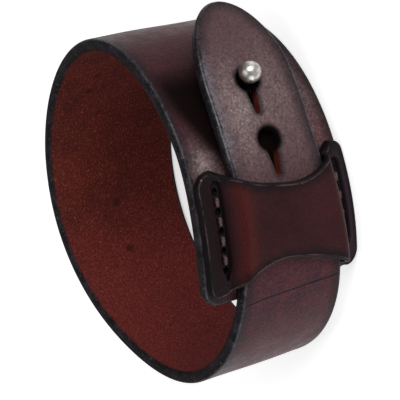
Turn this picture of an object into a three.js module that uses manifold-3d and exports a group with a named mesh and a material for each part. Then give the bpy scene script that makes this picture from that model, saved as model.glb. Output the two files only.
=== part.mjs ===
import * as THREE from 'three';
import { mergeVertices } from 'three/addons/utils/BufferGeometryUtils.js';
import Module from 'manifold-3d';

const wasm = await Module();
wasm.setup();

// Leather cuff bracelet lying on one rim. Sizes are in millimetres and angles in degrees.
// The axis of the loop is Z. Angles run counter-clockwise from +X, seen from above.
// One strap makes the whole loop: its wide end lies inside, at about -125 degrees, and the strap goes
// round by 0, 90 and 180 degrees, climbs over its own wide end at 250 and ends as a tongue towards +X.

// Loop
const loopDiameter = 67.3;
const loopLobes = [
  { waves: 2, cosine: -0.007, sine: 0.021 },
  { waves: 3, cosine: -0.007, sine: -0.027 },
  { waves: 4, cosine: 0.003, sine: 0.002 },
];

// Strap
const cuffWidth = 32;
const tongueWidth = cuffWidth * 0.6;
const strapThickness = 2.4;
const strapEdgeRadius = 0.7;
const layerGap = 0.4;
const climbStartAngle = 195;
const climbEndAngle = 250;

// How far the strap has narrowed from the cuff's width to the tongue's, as a share, along the loop
const taper = [
  { angle: 60, share: 0 },
  { angle: 90, share: 0.04 },
  { angle: 120, share: 0.17 },
  { angle: 180, share: 0.51 },
  { angle: 238, share: 0.78 },
  { angle: 247, share: 0.87 },
  { angle: 257, share: 0.94 },
  { angle: 272, share: 1 },
];

// Wide end, which the keeper is sewn to
const wideEndAngle = -125;
const wideEndCorner = 3.4;
const wideEndFlare = 1;
const wideEndTuck = 0.3;
const flareStartAngle = -72;
const flareFullAngle = -112;
const tuckStartAngle = -55;
const tuckFullAngle = -100;

// Tongue: it lies a little low on the cuff, and springs away from it and leans down towards its tip
const tongueDrop = 0.7;
const tipDrop = 1.15;
const tongueTipAngle = 320.5;
const springStartAngle = 278.5;
const springRise = 6.5;
const noseLength = 18.4;
const noseRoundness = 1.95;

// Keyholes
const keyholeCount = 2;
const keyholeSpacing = 11.6;
const keyholeDiameter = 4.4;
const slotLength = 6.7;
const slotRootWidth = 2.2;
const slotTipWidth = 1.1;

// Ball stud
const studAngle = -62.4;
const ballDiameter = 4.2;
const ballLift = 1.75;
const neckDiameter = 2.2;
const collarDiameter = 3.8;
const collarThickness = 0.4;
const postDiameter = 2.4;
const baseDiameter = 7;
const baseThickness = 0.9;
const seatGap = 0.3;

// Keeper
const keeperAngle = -103;
const keeperThickness = 1.6;
const keeperEdgeRadius = 0.45;
const keeperEarLength = 23.6;
const keeperWaistLength = 14.4;
const keeperLean = 0.9;
const keeperEarCorner = 3;
const keeperInset = 0.3;
const keeperEdgeGap = 0.4;

// The keeper's two ends along the cuff aren't alike. Each has a share of the waist's length. Its lower and
// upper ear each have a share of the ear's length and of the corner's radius. The waist widens into them with
// a power, the higher the steeper, until a share of the way out to the corner.
const keeperEnds = [
  {
    end: -1,
    waistShare: 0.515,
    ears: [
      { lengthShare: 0.525, cornerShare: 1, power: 2.8, fullAt: 1 },
      { lengthShare: 0.513, cornerShare: 1, power: 1.85, fullAt: 0.86 },
    ],
  },
  {
    end: 1,
    waistShare: 0.485,
    ears: [
      { lengthShare: 0.517, cornerShare: 0.73, power: 2.6, fullAt: 1 },
      { lengthShare: 0.468, cornerShare: 1, power: 2.5, fullAt: 0.93 },
    ],
  },
];

// Where the keeper steps up over the strap's two edges. Runs are measured up the cuff, and the stitch row keeps
// its inset from the ear's outer edge. The inner wall meets the ear outside the strap's clearance, by a share
// of its run.
const innerFootShare = 0.7;
const shoulders = [
  { side: -1, innerRun: 0.5, outerRun: 1.8, footThickness: 0.95, bow: 2, rowInset: 2.65 },
  { side: 1, innerRun: 1.3, outerRun: 2.7, footThickness: 1.1, bow: 1.4, rowInset: 3.75 },
];

// Stitch rows, sunk in a groove along each ear of the keeper
const stitchHoleCount = 5;
const stitchHoleDiameter = 1.4;
const stitchPitch = 3.6;
const grooveLength = 18;
const grooveWidth = 1.7;
const grooveDepth = 0.7;
const groovePointLength = 2.6;

const toRadians = THREE.MathUtils.degToRad;
const up = new THREE.Vector3(0, 0, 1);

function smooth(value, from, to) {
  return THREE.MathUtils.smoothstep(value, from, to);
}

function loopRadius(angle) {
  const turn = toRadians(angle);
  const lobes = loopLobes.reduce(
    (sum, { waves, cosine, sine }) => sum + cosine * Math.cos(waves * turn) + sine * Math.sin(waves * turn),
    0,
  );
  return (loopDiameter / 2) * (1 + lobes);
}

function wallPoint(angle) {
  const turn = toRadians(angle);
  return new THREE.Vector2(Math.cos(turn), Math.sin(turn)).multiplyScalar(loopRadius(angle));
}

// Outward normal of the loop's inner wall
function wallNormal(angle) {
  const step = 0.05;
  const along = wallPoint(angle + step).sub(wallPoint(angle - step)).normalize();
  return new THREE.Vector2(along.y, -along.x);
}

function pointOff(angle, height) {
  return wallPoint(angle).addScaledVector(wallNormal(angle), height);
}

const taperCurve = new THREE.CubicInterpolant(
  taper.map(({ angle }) => angle),
  taper.map(({ share }) => share),
  1,
  [0],
);

function narrowing(angle) {
  const first = taper[0].angle;
  const last = taper[taper.length - 1].angle;
  return THREE.MathUtils.clamp(taperCurve.evaluate(THREE.MathUtils.clamp(angle, first, last))[0], 0, 1);
}

function flare(angle) {
  return wideEndFlare * (1 - smooth(angle, flareFullAngle, flareStartAngle));
}

function strapWidth(angle) {
  return cuffWidth + flare(angle) - (cuffWidth - tongueWidth) * narrowing(angle);
}

// Height of the line that the stud and the keyholes stand on
function strapAxis(angle) {
  return (cuffWidth + flare(angle)) / 2 - tongueDrop * narrowing(angle);
}

// How far the tongue has come from where it springs away to its tip
function springShare(angle) {
  return Math.max(angle - springStartAngle, 0) / (tongueTipAngle - springStartAngle);
}

function strapMiddle(angle) {
  return strapAxis(angle) - tipDrop * springShare(angle);
}

// Height of the strap's inner face above the loop's inner wall
const rideHeight = strapThickness + layerGap - wideEndTuck;

function strapLift(angle) {
  const tuck = wideEndTuck * (1 - smooth(angle, tuckFullAngle, tuckStartAngle));
  const ride = rideHeight * smooth(angle, climbStartAngle, climbEndAngle);
  return ride + springRise * springShare(angle) ** 2 - tuck;
}

// Middle line of the strap's thickness, measured along its length from the wide end
function makeStrapPath() {
  const steps = 900;
  const points = [];
  for (let i = 0; i <= steps; i += 1) {
    const angle = THREE.MathUtils.lerp(wideEndAngle, tongueTipAngle, i / steps);
    const place = pointOff(angle, strapLift(angle) + strapThickness / 2);
    const last = points[points.length - 1];
    points.push({ angle, place, distance: last ? last.distance + place.distanceTo(last.place) : 0 });
  }
  const find = (value, key) => {
    const index = points.findIndex((point) => point[key] >= value);
    return THREE.MathUtils.clamp(index < 0 ? steps : index, 1, steps);
  };
  return {
    length: points[steps].distance,
    distanceAt(angle) {
      const index = find(angle, 'angle');
      const [before, after] = [points[index - 1], points[index]];
      const share = (angle - before.angle) / (after.angle - before.angle);
      return THREE.MathUtils.lerp(before.distance, after.distance, share);
    },
    at(distance) {
      const index = find(distance, 'distance');
      const [before, after] = [points[index - 1], points[index]];
      const share = (distance - before.distance) / (after.distance - before.distance);
      const low = points[Math.max(index - 2, 0)].place;
      const high = points[Math.min(index + 1, steps)].place;
      const tangent = high.clone().sub(low).normalize();
      return {
        angle: THREE.MathUtils.lerp(before.angle, after.angle, share),
        place: before.place.clone().lerp(after.place, share),
        normal: new THREE.Vector2(tangent.y, -tangent.x),
      };
    },
  };
}

const strapPath = makeStrapPath();

// Closed body through rings of equal count. Each ring turns counter-clockwise about the way of travel,
// and its first and last points face each other, so that the two end faces are zipped across.
function loft(rings) {
  const count = rings[0].length;
  const positions = rings.flat().flatMap((point) => point.toArray());
  const index = [];
  for (let i = 0; i < rings.length - 1; i += 1) {
    for (let j = 0; j < count; j += 1) {
      const next = (j + 1) % count;
      const [a, b] = [i * count + j, i * count + next];
      const [c, d] = [(i + 1) * count + next, (i + 1) * count + j];
      index.push(a, b, d, b, c, d);
    }
  }
  const end = (rings.length - 1) * count;
  for (let j = 0; j < count / 2 - 1; j += 1) {
    const [p, q, r, s] = [j, j + 1, count - 2 - j, count - 1 - j];
    index.push(q, p, r, r, p, s);
    index.push(end + p, end + q, end + r, end + p, end + r, end + s);
  }
  const geometry = new THREE.BufferGeometry();
  geometry.setAttribute('position', new THREE.Float32BufferAttribute(positions, 3));
  geometry.setIndex(index);
  return geometry;
}

function solidOf(geometry) {
  const bare = geometry.clone();
  bare.deleteAttribute('normal');
  bare.deleteAttribute('uv');
  const merged = mergeVertices(bare, 1e-5);
  return new wasm.Manifold(
    new wasm.Mesh({
      numProp: 3,
      vertProperties: new Float32Array(merged.attributes.position.array),
      triVerts: new Uint32Array(merged.index.array),
    }),
  );
}

function geometryOf(solid) {
  const mesh = solid.getMesh();
  const geometry = new THREE.BufferGeometry();
  geometry.setAttribute('position', new THREE.Float32BufferAttribute(mesh.vertProperties, 3));
  geometry.setIndex(Array.from(mesh.triVerts));
  geometry.computeVertexNormals();
  return geometry;
}

// Frame whose X runs along the strap, Y up the cuff and Z outwards through the leather
function frameAt(place, normal, height) {
  const outward = new THREE.Vector3(normal.x, normal.y, 0);
  const along = new THREE.Vector3(-normal.y, normal.x, 0);
  const frame = new THREE.Matrix4().makeBasis(along, up, outward);
  return frame.setPosition(place.x, place.y, height);
}

// Rounded rectangle of the strap's section: width up the cuff, thickness outwards
function sectionPoints(halfWidth, halfThickness, radius) {
  const corners = [
    { width: 1, depth: -1, turn: 270 },
    { width: 1, depth: 1, turn: 0 },
    { width: -1, depth: 1, turn: 90 },
    { width: -1, depth: -1, turn: 180 },
  ];
  return corners.flatMap(({ width, depth, turn }) =>
    [0, 45, 90].map((step) => {
      const bend = toRadians(turn + step);
      return {
        width: width * (halfWidth - radius) + radius * Math.cos(bend),
        depth: depth * (halfThickness - radius) + radius * Math.sin(bend),
      };
    }),
  );
}

function strapHalfWidth(distance, angle) {
  const half = strapWidth(angle) / 2;
  const intoCorner = Math.max(wideEndCorner - distance, 0);
  const cornerLoss = wideEndCorner - Math.sqrt(wideEndCorner ** 2 - intoCorner ** 2);
  const intoNose = Math.max(distance - (strapPath.length - noseLength), 0) / noseLength;
  const noseShare = (1 - intoNose ** noseRoundness) ** (1 / noseRoundness);
  return (half - cornerLoss) * noseShare;
}

// Distances of the strap's sections: closer together round the wide end's corners and the nose
function strapStations() {
  const cornerSteps = 6;
  const loopSteps = 92;
  const noseSteps = 16;
  const nosePlainEnd = 0.997;
  const noseStart = strapPath.length - noseLength;
  const corner = Array.from({ length: cornerSteps }, (_, i) => {
    return wideEndCorner * (1 - Math.cos((Math.PI / 2) * (i / cornerSteps)));
  });
  const loop = Array.from({ length: loopSteps }, (_, i) => {
    return THREE.MathUtils.lerp(wideEndCorner, noseStart, i / loopSteps);
  });
  const nose = Array.from({ length: noseSteps + 1 }, (_, i) => {
    return noseStart + noseLength * nosePlainEnd * Math.sin((Math.PI / 2) * (i / noseSteps));
  });
  return [...corner, ...loop, ...nose];
}

function strapGeometry() {
  const noseEdgeShare = 0.6;
  const faceEdgeShare = 0.45;
  const rings = strapStations().map((distance) => {
    const { angle, place, normal } = strapPath.at(distance);
    const halfWidth = strapHalfWidth(distance, angle);
    const radius = Math.min(strapEdgeRadius, halfWidth * noseEdgeShare, strapThickness * faceEdgeShare);
    return sectionPoints(halfWidth, strapThickness / 2, radius).map(({ width, depth }) => {
      const spot = place.clone().addScaledVector(normal, depth);
      return new THREE.Vector3(spot.x, spot.y, strapMiddle(angle) + width);
    });
  });
  return loft(rings);
}

// Round hole with a tapering slot that points away from the tongue's tip
function keyholeShape() {
  const radius = keyholeDiameter / 2;
  const rootTurn = Math.asin(slotRootWidth / keyholeDiameter);
  const tipCentre = slotTipWidth / 2 - slotLength;
  const shape = new THREE.Shape();
  shape.absarc(0, 0, radius, Math.PI + rootTurn, Math.PI * 3 - rootTurn, false);
  shape.absarc(tipCentre, 0, slotTipWidth / 2, Math.PI / 2, Math.PI * 1.5, false);
  shape.closePath();
  return shape;
}

function keyholeCutters() {
  const reach = strapThickness * 2;
  const profile = keyholeShape();
  const studDistance = strapPath.distanceAt(studAngle + 360);
  return Array.from({ length: keyholeCount }, (_, i) => {
    const { angle, place, normal } = strapPath.at(studDistance - keyholeSpacing * i);
    const settings = { depth: reach, bevelEnabled: false, curveSegments: 10 };
    const cutter = new THREE.ExtrudeGeometry(profile, settings);
    cutter.translate(0, 0, -reach / 2);
    return cutter.applyMatrix4(frameAt(place, normal, strapAxis(angle)));
  });
}

// Round cutter along the leather's thickness
function drill(angle, height, diameter, reach, sides) {
  const cutter = new THREE.CylinderGeometry(diameter / 2, diameter / 2, reach, sides);
  cutter.rotateX(Math.PI / 2);
  return cutter.applyMatrix4(frameAt(wallPoint(angle), wallNormal(angle), height));
}

const studHeight = strapAxis(studAngle + 360);

function studHoleCutter() {
  const reach = (strapLift(studAngle) + strapThickness + layerGap) * 2;
  return drill(studAngle, studHeight, postDiameter + seatGap * 2, reach, 20);
}

// Keeper: heights are above the loop's inner wall
const earHeight = strapThickness - wideEndTuck + seatGap;
const bridgeHeight = rideHeight + strapThickness + seatGap;
const keeperMiddle = (cuffWidth + flare(keeperAngle)) / 2;
const keeperHalfSpan = keeperMiddle - keeperInset;

// The keeper's lower and upper edges run along those of the wide end
function keeperEdge(side, angle) {
  return side < 0 ? keeperInset : cuffWidth + flare(angle) - keeperInset;
}

// Clear of the edge of the strap that lies under the keeper, at an angle of the loop below 0
function clearOfStrap(side, angle) {
  return strapMiddle(angle + 360) + side * (strapWidth(angle + 360) / 2 + keeperEdgeGap);
}

// Inner and outer points across the keeper from its outer edge to the top of one shoulder
function earRibs({ side, innerRun, outerRun, footThickness, bow }, angle) {
  const edge = keeperEdge(side, angle);
  const innerFoot = clearOfStrap(side, angle) + side * innerRun * innerFootShare;
  const outerFoot = innerFoot + side * footThickness;
  const earSteps = 4;
  const wallSteps = 7;
  const rounding = 0.3;
  const outerHeight = earHeight + keeperThickness;
  const ribs = [
    {
      inner: { across: edge, height: earHeight + keeperThickness * rounding },
      outer: { across: edge, height: earHeight + keeperThickness * (1 - rounding) },
    },
  ];
  for (let i = 0; i < earSteps; i += 1) {
    const start = edge - side * keeperEdgeRadius;
    ribs.push({
      inner: { across: THREE.MathUtils.lerp(start, innerFoot, i / earSteps), height: earHeight },
      outer: { across: THREE.MathUtils.lerp(start, outerFoot, i / earSteps), height: outerHeight },
    });
  }
  for (let i = 0; i <= wallSteps; i += 1) {
    const share = i / wallSteps;
    const rise = (bridgeHeight - earHeight) * smooth(share, 0, 1);
    ribs.push({
      inner: { across: innerFoot - side * innerRun * share, height: earHeight + rise },
      outer: { across: outerFoot - side * outerRun * share ** bow, height: outerHeight + rise },
    });
  }
  return ribs;
}

// All inner and outer points across the keeper, from its lower edge to its upper one
function keeperRibs(angle) {
  const [lower, upper] = shoulders.map((shoulder) => earRibs(shoulder, angle));
  const from = lower[lower.length - 1];
  const to = upper[upper.length - 1];
  const crownSteps = 8;
  const crown = [];
  for (let i = 1; i < crownSteps; i += 1) {
    const share = i / crownSteps;
    const innerAcross = THREE.MathUtils.lerp(from.inner.across, to.inner.across, share);
    const outerAcross = THREE.MathUtils.lerp(from.outer.across, to.outer.across, share);
    crown.push({
      inner: { across: innerAcross, height: bridgeHeight },
      outer: { across: outerAcross, height: bridgeHeight + keeperThickness },
    });
  }
  return [...lower, ...crown, ...upper.reverse()];
}

// How far an end of the keeper lies from its middle line: waisted over the strap, full at the ears, with
// round corners
function keeperReach({ waistShare, ears }, across) {
  const { lengthShare, cornerShare, power, fullAt } = ears[across < keeperMiddle ? 0 : 1];
  const out = Math.abs(across - keeperMiddle);
  const corner = keeperEarCorner * cornerShare;
  const cornerStart = keeperHalfSpan - corner;
  const widened = Math.min(out / (cornerStart * fullAt), 1) ** power;
  const reach = THREE.MathUtils.lerp(keeperWaistLength * waistShare, keeperEarLength * lengthShare, widened);
  const intoCorner = THREE.MathUtils.clamp(out - cornerStart, 0, corner);
  return reach - corner + Math.sqrt(corner ** 2 - intoCorner ** 2);
}

// Angle at a distance along the keeper from its middle line, which leans over the strap as a slight S
function keeperAngleAt(along, across, height) {
  const lean = keeperLean * Math.sin((Math.PI * (across - keeperMiddle)) / keeperHalfSpan);
  return keeperAngle + THREE.MathUtils.radToDeg((along + lean) / (loopRadius(keeperAngle) + height));
}

function keeperPoint(along, across, height) {
  const spot = pointOff(keeperAngleAt(along, across, height), height);
  return new THREE.Vector3(spot.x, spot.y, across);
}

function keeperGeometry() {
  const steps = 14;
  const lean = 0.3;
  const rings = keeperRibs(keeperAngle).map((middleRib, rib) => {
    const middleAcross = (middleRib.inner.across + middleRib.outer.across) / 2;
    const [low, high] = keeperEnds.map((keeperEnd) => keeperEnd.end * keeperReach(keeperEnd, middleAcross));
    const mix = (along, share) => {
      const angle = keeperAngleAt(along, middleRib.outer.across, middleRib.outer.height);
      const { inner, outer } = keeperRibs(angle)[rib];
      const across = THREE.MathUtils.lerp(inner.across, outer.across, share);
      return keeperPoint(along, across, THREE.MathUtils.lerp(inner.height, outer.height, share));
    };
    const row = (share) => {
      return Array.from({ length: steps + 1 }, (_, i) => {
        return mix(THREE.MathUtils.lerp(low + keeperEdgeRadius, high - keeperEdgeRadius, i / steps), share);
      });
    };
    const highEnd = [mix(high, 1 - lean), mix(high, lean)];
    const lowEnd = [mix(low, lean), mix(low, 1 - lean)];
    return [...row(1), ...highEnd, ...row(0).reverse(), ...lowEnd];
  });
  return loft(rings);
}

// Groove: round at its upper end, pointed at its lower end
function grooveHalfWidth(along) {
  const radius = grooveWidth / 2;
  const intoRound = Math.max(along - (grooveLength / 2 - radius), 0);
  const fromPoint = Math.min((along + grooveLength / 2) / groovePointLength, 1);
  return Math.sqrt(Math.max(radius ** 2 - intoRound ** 2, 0)) * fromPoint;
}

// Place on a stitch row: how far up the cuff it is, and at which angle
function stitchRowPlace({ side, rowInset }, along, height) {
  const across = keeperEdge(side, keeperAngle) - side * rowInset;
  const angle = keeperAngleAt(along, across, height);
  return { across: keeperEdge(side, angle) - side * rowInset, angle };
}

function grooveCutter(shoulder) {
  const steps = 22;
  const plainEnd = 0.06;
  const bottom = earHeight + keeperThickness - grooveDepth;
  const top = bridgeHeight + keeperThickness * 2;
  const rings = Array.from({ length: steps + 1 }, (_, i) => {
    const along = -Math.cos((Math.PI * i) / steps) * (grooveLength / 2);
    const half = Math.max(grooveHalfWidth(along), plainEnd);
    const { across, angle } = stitchRowPlace(shoulder, along, bottom);
    const corner = (side, height) => {
      const spot = pointOff(angle, height);
      return new THREE.Vector3(spot.x, spot.y, across + side * half);
    };
    return [corner(1, bottom), corner(1, top), corner(-1, top), corner(-1, bottom)];
  });
  return loft(rings);
}

function stitchHoleCutters() {
  const level = earHeight + keeperThickness;
  const reach = level * 3;
  const cutters = [];
  for (const shoulder of shoulders) {
    for (let i = 0; i < stitchHoleCount; i += 1) {
      const along = (i - (stitchHoleCount - 1) / 2) * stitchPitch;
      const { across, angle } = stitchRowPlace(shoulder, along, level);
      cutters.push(drill(angle, across, stitchHoleDiameter, reach, 8));
    }
  }
  return cutters;
}

// Ball, neck, collar, post and inner base, turned in one piece. The profile runs outwards along Y.
function studGeometry() {
  const strapInner = strapLift(studAngle);
  const strapOuter = strapInner + strapThickness;
  const tongueOuter = strapLift(studAngle + 360) + strapThickness;
  const ballCentre = tongueOuter + ballLift;
  const ballRadius = ballDiameter / 2;
  const neckTurn = Math.asin(neckDiameter / ballDiameter);
  // The flat base lies deeper by the hollow of the wall across it
  const baseSeat = strapInner - seatGap - (baseDiameter / 2) ** 2 / loopDiameter;
  const profile = [
    new THREE.Vector2(0, baseSeat - baseThickness),
    new THREE.Vector2(baseDiameter / 2, baseSeat - baseThickness),
    new THREE.Vector2(baseDiameter / 2, baseSeat),
    new THREE.Vector2(postDiameter / 2, baseSeat),
    new THREE.Vector2(postDiameter / 2, strapOuter + seatGap),
    new THREE.Vector2(collarDiameter / 2, strapOuter + seatGap),
    new THREE.Vector2(collarDiameter / 2, strapOuter + seatGap + collarThickness),
    new THREE.Vector2(neckDiameter / 2, strapOuter + seatGap + collarThickness),
  ];
  const ballSteps = 14;
  for (let i = 0; i <= ballSteps; i += 1) {
    const turn = THREE.MathUtils.lerp(neckTurn, Math.PI, i / ballSteps);
    const radius = i === ballSteps ? 0 : ballRadius * Math.sin(turn);
    profile.push(new THREE.Vector2(radius, ballCentre - ballRadius * Math.cos(turn)));
  }
  const turned = new THREE.LatheGeometry(profile, 28);
  const outward = wallNormal(studAngle);
  const along = new THREE.Vector3(-outward.y, outward.x, 0);
  const axis = new THREE.Vector3(outward.x, outward.y, 0);
  const frame = new THREE.Matrix4().makeBasis(up, axis, along);
  const foot = wallPoint(studAngle);
  return turned.applyMatrix4(frame.setPosition(foot.x, foot.y, studHeight));
}

function cutFrom(solid, cutters) {
  return cutters.reduce((body, cutter) => body.subtract(solidOf(cutter)), solid);
}

function addPiece(parent, name, solid, color, roughness, metalness) {
  const material = new THREE.MeshStandardMaterial({ color, roughness, metalness });
  const mesh = new THREE.Mesh(geometryOf(solid), material);
  mesh.name = name;
  parent.add(mesh);
}

const bracelet = new THREE.Group();
const stitchHoles = stitchHoleCutters();
const strap = cutFrom(solidOf(strapGeometry()), [...keyholeCutters(), studHoleCutter(), ...stitchHoles]);
const keeper = cutFrom(solidOf(keeperGeometry()), [...shoulders.map(grooveCutter), ...stitchHoles]);

addPiece(bracelet, 'band', strap, 0x3c1518, 0.45, 0);
addPiece(bracelet, 'keeper', keeper, 0x321216, 0.42, 0);
addPiece(bracelet, 'ball_stud', solidOf(studGeometry()), 0xb9b5ad, 0.3, 1);

// The origin is the middle of the bounding box's underside
const box = new THREE.Box3().setFromObject(bracelet);
const middle = box.getCenter(new THREE.Vector3());
bracelet.position.set(-middle.x, -middle.y, -box.min.z);

export default bracelet;
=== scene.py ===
import math

import bpy
import numpy as np
from mathutils import Matrix, Vector
from mathutils.kdtree import KDTree


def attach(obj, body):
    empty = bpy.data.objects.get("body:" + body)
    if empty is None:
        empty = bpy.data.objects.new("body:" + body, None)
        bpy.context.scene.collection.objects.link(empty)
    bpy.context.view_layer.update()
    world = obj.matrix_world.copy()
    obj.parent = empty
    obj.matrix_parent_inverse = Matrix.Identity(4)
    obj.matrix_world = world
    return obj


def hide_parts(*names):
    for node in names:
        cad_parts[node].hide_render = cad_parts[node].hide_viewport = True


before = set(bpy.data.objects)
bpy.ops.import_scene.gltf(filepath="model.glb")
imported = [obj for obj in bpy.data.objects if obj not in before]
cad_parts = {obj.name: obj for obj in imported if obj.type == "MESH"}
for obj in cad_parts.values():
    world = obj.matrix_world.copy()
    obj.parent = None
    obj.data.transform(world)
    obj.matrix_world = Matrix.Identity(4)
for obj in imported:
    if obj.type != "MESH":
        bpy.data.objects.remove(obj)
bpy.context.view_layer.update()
print("scene: frame loaded")

mm = 0.001

# Where the middle of the loop stands, in millimetres. Angles run counter-clockwise from +X, in degrees.
loop = {
    "centre": (0.354, 1.279),
    "diameter": 67.3,
    "lobes": ((2, -0.007, 0.021), (3, -0.007, -0.027), (4, 0.003, 0.002)),
}

strap = {
    "width": 32.0,
    "tongueWidth": 19.2,
    "thickness": 2.4,
    "edgeRadius": 0.75,
    "layerGap": 0.4,
    "climb": (195, 250),
    # how far it has narrowed towards the tongue, at angles
    "taper": (
        (60, 0), (78, 0.0175), (90, 0.04), (102, 0.0836), (114, 0.14), (126, 0.201), (144, 0.3032),
        (162, 0.4099), (180, 0.51), (198, 0.5878), (216, 0.6576), (228, 0.7159), (240, 0.7973), (246, 0.8609),
        (252, 0.9087), (258, 0.9453), (264, 0.971), (270, 0.9923), (274, 1.0),
    ),
    "taperEasing": (-3, -1.5, 0, 1.5, 3),
    "wideEnd": -125.0,
    "cornerRadius": 3.4,
    "flare": 1.0,
    "flareSpan": (-112, -72),
    "tuck": 0.3,
    "tuckSpan": (-100, -55),
    "tongueDrop": 0.7,
    "tipDrop": 1.15,
    "tongueTip": 320.5,
    "springStart": 278.5,
    "springRise": 6.5,
    "noseLength": 18.4,
    "noseRoundness": 1.95,
    "pathSteps": 1200,
}


def ramp(value, low, high):
    return np.clip((value - low) / (high - low), 0, 1)


def smooth(value, low, high):
    share = ramp(value, low, high)
    return share * share * (3 - 2 * share)


def within(value, lowStart, lowEnd, highStart, highEnd):
    return smooth(value, lowStart, lowEnd) * (1 - smooth(value, highStart, highEnd))


def blend(a, b, share):
    return a + (b - a) * share


# The loop's inner wall

def loopRadius(angle):
    turn = np.radians(angle)
    lobes = sum(c * np.cos(waves * turn) + s * np.sin(waves * turn) for waves, c, s in loop["lobes"])
    return loop["diameter"] / 2 * (1 + lobes)


def wallPoint(angle):
    turn = np.radians(angle)
    return np.stack([np.cos(turn), np.sin(turn)], -1) * np.asarray(loopRadius(angle))[..., None]


def wallNormal(angle, step=0.05):
    along = wallPoint(angle + step) - wallPoint(angle - step)
    along /= np.linalg.norm(along, axis=-1, keepdims=True)
    return np.stack([along[..., 1], -along[..., 0]], -1)


def offWall(angle, height):
    return wallPoint(angle) + wallNormal(angle) * np.asarray(height)[..., None]


# The strap's width, place and lift, at an angle

def narrowing(angle):
    angles, shares = np.array(strap["taper"], float).T
    eased = [np.interp(angle + shift, angles, shares) for shift in strap["taperEasing"]]
    return sum(eased) / len(eased)


def flare(angle):
    return strap["flare"] * (1 - smooth(angle, *strap["flareSpan"]))


def strapWidth(angle):
    return strap["width"] + flare(angle) - (strap["width"] - strap["tongueWidth"]) * narrowing(angle)


def strapAxis(angle):
    # height of the line that the stud and the keyholes stand on
    return (strap["width"] + flare(angle)) / 2 - strap["tongueDrop"] * narrowing(angle)


def springShare(angle):
    return np.maximum(angle - strap["springStart"], 0) / (strap["tongueTip"] - strap["springStart"])


def strapMiddle(angle):
    return strapAxis(angle) - strap["tipDrop"] * springShare(angle)


rideHeight = strap["thickness"] + strap["layerGap"] - strap["tuck"]


def strapLift(angle):
    tuck = strap["tuck"] * (1 - smooth(angle, *strap["tuckSpan"]))
    return rideHeight * smooth(angle, *strap["climb"]) + strap["springRise"] * springShare(angle) ** 2 - tuck


pathAngles = np.linspace(strap["wideEnd"], strap["tongueTip"], strap["pathSteps"] + 1)
pathPlaces = offWall(pathAngles, strapLift(pathAngles) + strap["thickness"] / 2)
pathSteps = np.linalg.norm(np.diff(pathPlaces, axis=0), axis=1)
pathDistances = np.concatenate([[0], np.cumsum(pathSteps)])
strapLength = pathDistances[-1]


def angleAt(distance):
    return np.interp(distance, pathDistances, pathAngles)


def distanceAt(angle):
    return float(np.interp(angle, pathAngles, pathDistances))


# Blender's own tools, wrapped

def link(obj):
    bpy.context.scene.collection.objects.link(obj)
    return obj


def deselectAll():
    if bpy.context.object and bpy.context.object.mode != "OBJECT":
        bpy.ops.object.mode_set(mode="OBJECT")
    bpy.ops.object.select_all(action="DESELECT")


def pick(obj):
    deselectAll()
    obj.select_set(True)
    bpy.context.view_layer.objects.active = obj
    return obj


def named(name):
    obj = bpy.context.object
    obj.name = obj.data.name = name
    return obj


def places(obj):
    co = np.empty(len(obj.data.vertices) * 3, np.float32)
    obj.data.vertices.foreach_get("co", co)
    return co.reshape(-1, 3).astype(float) / mm


def setPlaces(obj, *columns):
    obj.data.vertices.foreach_set("co", (np.column_stack(columns) * mm).astype(np.float32).ravel())
    obj.data.update()


def applyModifier(obj, kind, **settings):
    pick(obj)
    modifier = obj.modifiers.new(kind.title(), kind)
    for key, value in settings.items():
        setattr(modifier, key, value)
    bpy.ops.object.modifier_apply(modifier=modifier.name)


def editMesh(obj, *steps):
    pick(obj)
    bpy.ops.object.mode_set(mode="EDIT")
    bpy.ops.mesh.select_all(action="SELECT")
    for step in steps:
        step()
    bpy.ops.object.mode_set(mode="OBJECT")


def outwards():
    bpy.ops.mesh.select_all(action="SELECT")
    bpy.ops.mesh.normals_make_consistent(inside=False)


def setAttribute(obj, name, values):
    values = np.asarray(values, np.float32)
    kind, field = ("FLOAT_VECTOR", "vector") if values.ndim == 2 else ("FLOAT", "value")
    obj.data.attributes.new(name, kind, "POINT").data.foreach_set(field, values.ravel())


def keepFlat(obj, flat, rim, slot):
    # for the finish: taken while the leather is flat
    for name, values in (("rest", flat), ("rim", rim), ("slot", slot)):
        setAttribute(obj, name, values * mm)


def distanceTo(points, line, gap=0.05):
    # nearest distance on the flat from each point to a closed line, in millimetres
    dense = []
    for start, end in zip(line, np.roll(line, -1, axis=0)):
        count = max(int(np.linalg.norm(end - start) / gap), 1)
        dense.extend(blend(start, end, i / count) for i in range(count))
    tree = KDTree(len(dense))
    for index, (x, y) in enumerate(dense):
        tree.insert((x, y, 0), index)
    tree.balance()
    return np.array([tree.find((x, y, 0))[2] for x, y in points])


def leatherBlank(name, lengthSteps, widthSteps, sheet=0.01):
    # a thin sheet, and each point's share of its length, its share of half its width, and its side
    deselectAll()
    bpy.ops.mesh.primitive_grid_add(x_subdivisions=lengthSteps, y_subdivisions=widthSteps, size=1)
    blank = named(name)
    applyModifier(blank, "SOLIDIFY", thickness=sheet, offset=0)
    x, y, z = places(blank).T * mm
    return blank, np.clip(x + 0.5, 0, 1), np.clip(y * 2, -1, 1), np.sign(z)


def roundedDepth(depth, half, rimDistance, radius):
    # pulls the faces in towards the middle of the leather close to a rim
    inside = np.clip(radius - rimDistance, 0, radius)
    loss = radius - np.sqrt(radius**2 - inside**2)
    return np.sign(depth) * np.minimum(np.abs(depth), half - loss)


def cutter(name, outline, centre, reach):
    # a flat shape drawn round the origin, extruded through the leather
    deselectAll()
    bpy.ops.mesh.primitive_circle_add(vertices=len(outline), radius=mm, fill_type="NGON")
    tool = named(name)
    setPlaces(tool, np.asarray(outline) + np.asarray(centre), np.full(len(outline), -reach))
    lift = {"value": (0, 0, 2 * reach * mm)}
    editMesh(tool, lambda: bpy.ops.mesh.extrude_region_move(TRANSFORM_OT_translate=lift), outwards)
    return tool


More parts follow.
